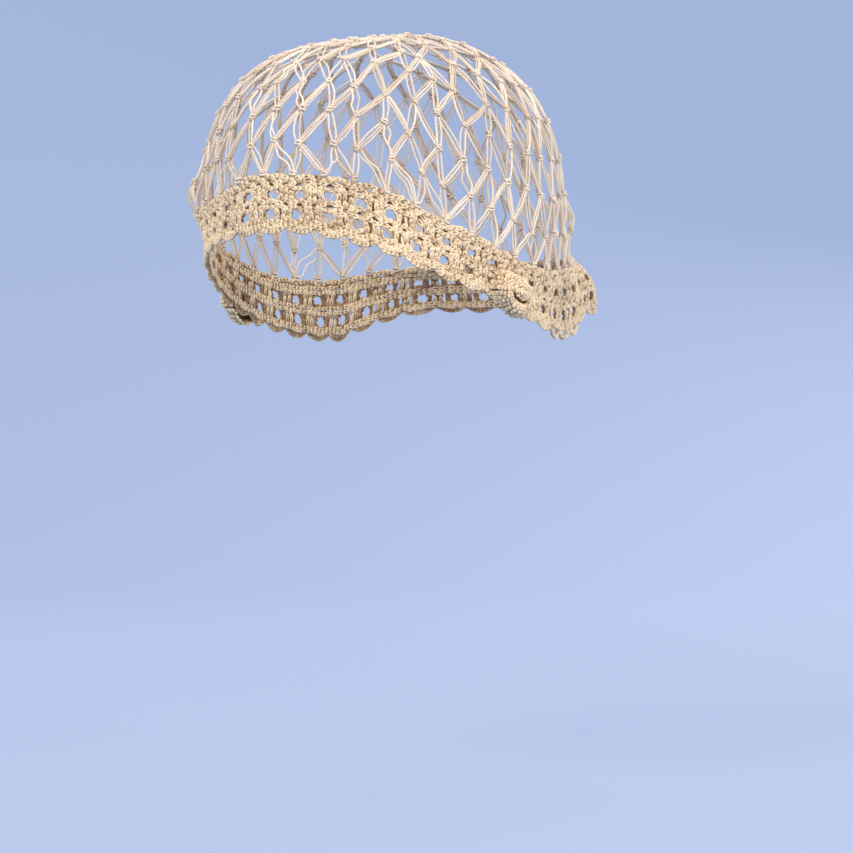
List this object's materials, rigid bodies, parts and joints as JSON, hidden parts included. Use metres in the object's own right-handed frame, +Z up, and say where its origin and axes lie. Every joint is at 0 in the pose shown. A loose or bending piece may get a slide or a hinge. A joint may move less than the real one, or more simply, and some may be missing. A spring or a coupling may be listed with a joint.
{
  "type": "boudoir cap",
  "caption": "Crocheted boudoir cap in its worn form: an open crown of knotted net on a scalloped lace band, with a small rosette over each ear.",
  "frame": {"origin": "middle of the head opening, level with the lower edge of the band at the forehead: the place where a head carries the cap", "axes": "+Z up as worn, -Y to the front over the forehead, +X to the wearer's left"},
  "size_m": [0.1667, 0.2073, 0.1391],
  "materials": {
    "net_thread": "twisted ecru cotton thread, slightly lustrous",
    "band_thread": "dense crochet of ecru cotton thread, matt",
    "edging_thread": "crocheted shells of ecru cotton thread, matt",
    "rosette_thread": "tight crochet of ecru cotton thread, matt"
  },
  "bodies": {
    "root": {"crown_net": "net_thread", "eyelet_band": "band_thread", "shell_edging": "edging_thread", "rosette_left": "rosette_thread", "rosette_right": "rosette_thread"}
  },
  "joints": []
}
